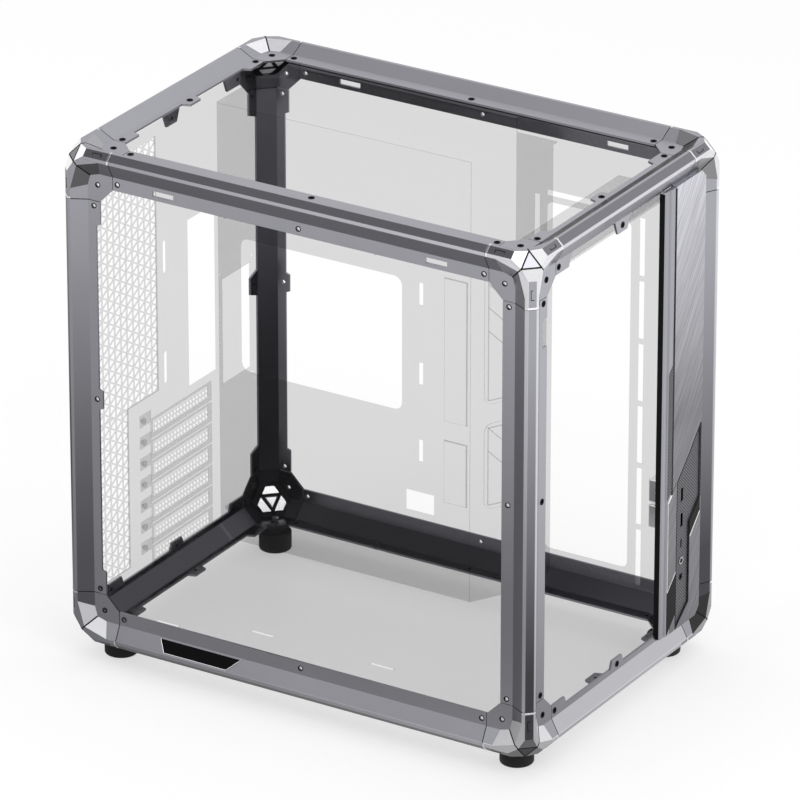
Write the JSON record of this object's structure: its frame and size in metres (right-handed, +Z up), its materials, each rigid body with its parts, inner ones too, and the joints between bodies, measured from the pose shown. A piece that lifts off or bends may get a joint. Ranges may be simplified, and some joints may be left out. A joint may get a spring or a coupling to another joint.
{
  "type": "computer case",
  "caption": "Open-frame ATX computer case with ridged dark beams, faceted corner castings, see-through inner sheet parts and a slim front port strip",
  "frame": {"origin": "centre of the bounding box, on the ground plane under the feet", "axes": "+Z up, -Y is the front with the port strip, -X is the open board side"},
  "size_m": [0.314, 0.466, 0.482],
  "materials": {
    "dark_beam": "dark grey anodised, satin gloss",
    "dark_casting": "dark grey anodised, polished facets",
    "black_rubber": "matt black",
    "steel_screw": "plain zinc",
    "silver_facet": "satin silver",
    "black_plate": "gloss black, bare",
    "brushed_strip": "diagonal brushed, silver grey",
    "silver_rail": "satin silver grey",
    "hatched_inset": "dark grey with fine diagonal hatching",
    "socket_shell": "nickel plated",
    "black_plastic": "black",
    "silver_button": "satin silver",
    "smoke_sheet": "see-through pale grey tint"
  },
  "bodies": {
    "case": {"angled_wall": "smoke_sheet", "audio_jack": "black_plastic", "beam_bottom_front": "dark_beam", "beam_bottom_left": "dark_beam", "beam_bottom_rear": "dark_beam", "beam_bottom_right": "dark_beam", "beam_top_front": "dark_beam", "beam_top_left": "dark_beam", "beam_top_rear": "dark_beam", "beam_top_right": "dark_beam", "board_standoffs": "smoke_sheet", "cable_channel_lower": "smoke_sheet", "cable_channel_upper": "smoke_sheet", "chamber_roof": "smoke_sheet", "corner_bottom_front_left": "dark_casting", "corner_bottom_front_right": "dark_casting", "corner_bottom_rear_left": "dark_casting", "corner_bottom_rear_right": "dark_casting", "corner_top_front_left": "dark_casting", "corner_top_front_right": "dark_casting", "corner_top_rear_left": "dark_casting", "corner_top_rear_right": "dark_casting", "floor_panel": "smoke_sheet", "foot_front_left": "black_rubber", "foot_front_right": "black_rubber", "foot_rear_left": "black_rubber", "foot_rear_right": "black_rubber", "foot_screws": "steel_screw", "front_top_bracket": "smoke_sheet", "inner_corner_caps": "silver_facet", "motherboard_tray": "smoke_sheet", "nameplate": "black_plate", "pillar_front_left": "dark_beam", "pillar_front_right": "dark_beam", "pillar_rear_left": "dark_beam", "pillar_rear_right": "dark_beam", "power_switch": "black_plastic", "rear_panel": "smoke_sheet", "rear_vent_mesh": "smoke_sheet", "side_fan_bracket": "smoke_sheet", "slot_cover_1": "smoke_sheet", "slot_cover_2": "smoke_sheet", "slot_cover_3": "smoke_sheet", "slot_cover_4": "smoke_sheet", "slot_cover_5": "smoke_sheet", "slot_cover_6": "smoke_sheet", "slot_cover_7": "smoke_sheet", "slot_cover_screws": "smoke_sheet", "small_socket": "socket_shell", "strip_edge_rail": "silver_rail", "strip_face": "brushed_strip", "strip_inset": "hatched_inset", "usb_socket_lower": "socket_shell", "usb_socket_upper": "socket_shell"},
    "power_button": {"power_button": "silver_button"}
  },
  "joints": [
    {"name": "power_press", "type": "slide", "parent": "case", "child": "power_button", "axis": [0, 1, 0], "range_m": [0, 0.001], "stiffness_N_per_m": 1500}
  ]
}
